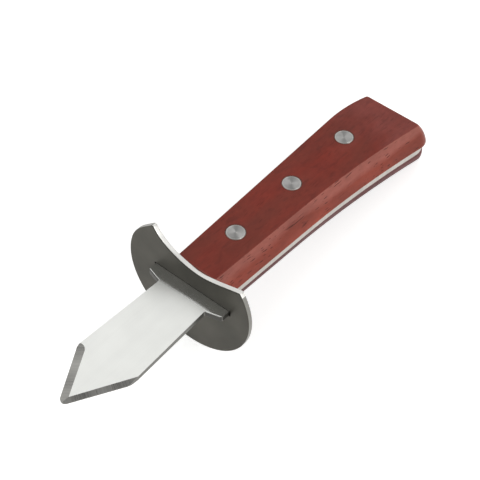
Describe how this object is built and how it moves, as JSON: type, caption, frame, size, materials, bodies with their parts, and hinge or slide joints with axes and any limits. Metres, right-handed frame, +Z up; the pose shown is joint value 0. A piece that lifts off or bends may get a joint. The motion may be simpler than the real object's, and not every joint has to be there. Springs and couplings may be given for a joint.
{
  "type": "oyster knife",
  "caption": "Oyster knife with a short spear-pointed steel blade, a round steel guard and riveted wooden handle scales.",
  "frame": {"origin": "centre of the footprint, on the ground the knife lies on", "axes": "+X towards the blade's tip, +Y towards the handle's flared side, +Z up; the knife lies nose up on its guard's rim and the butt edge of its lower scale"},
  "size_m": [0.1683, 0.052, 0.0448],
  "materials": {
    "blade_steel": "satin",
    "guard_steel": "satin",
    "wood": "satin",
    "rivet_steel": "brushed"
  },
  "bodies": {
    "root": {"blade_and_tang": "blade_steel", "guard": "guard_steel", "upper_scale": "wood", "lower_scale": "wood", "rivet_tube_front": "rivet_steel", "rivet_tube_middle": "rivet_steel", "rivet_tube_rear": "rivet_steel", "rivet_pin_front": "rivet_steel", "rivet_pin_middle": "rivet_steel", "rivet_pin_rear": "rivet_steel"}
  },
  "joints": []
}
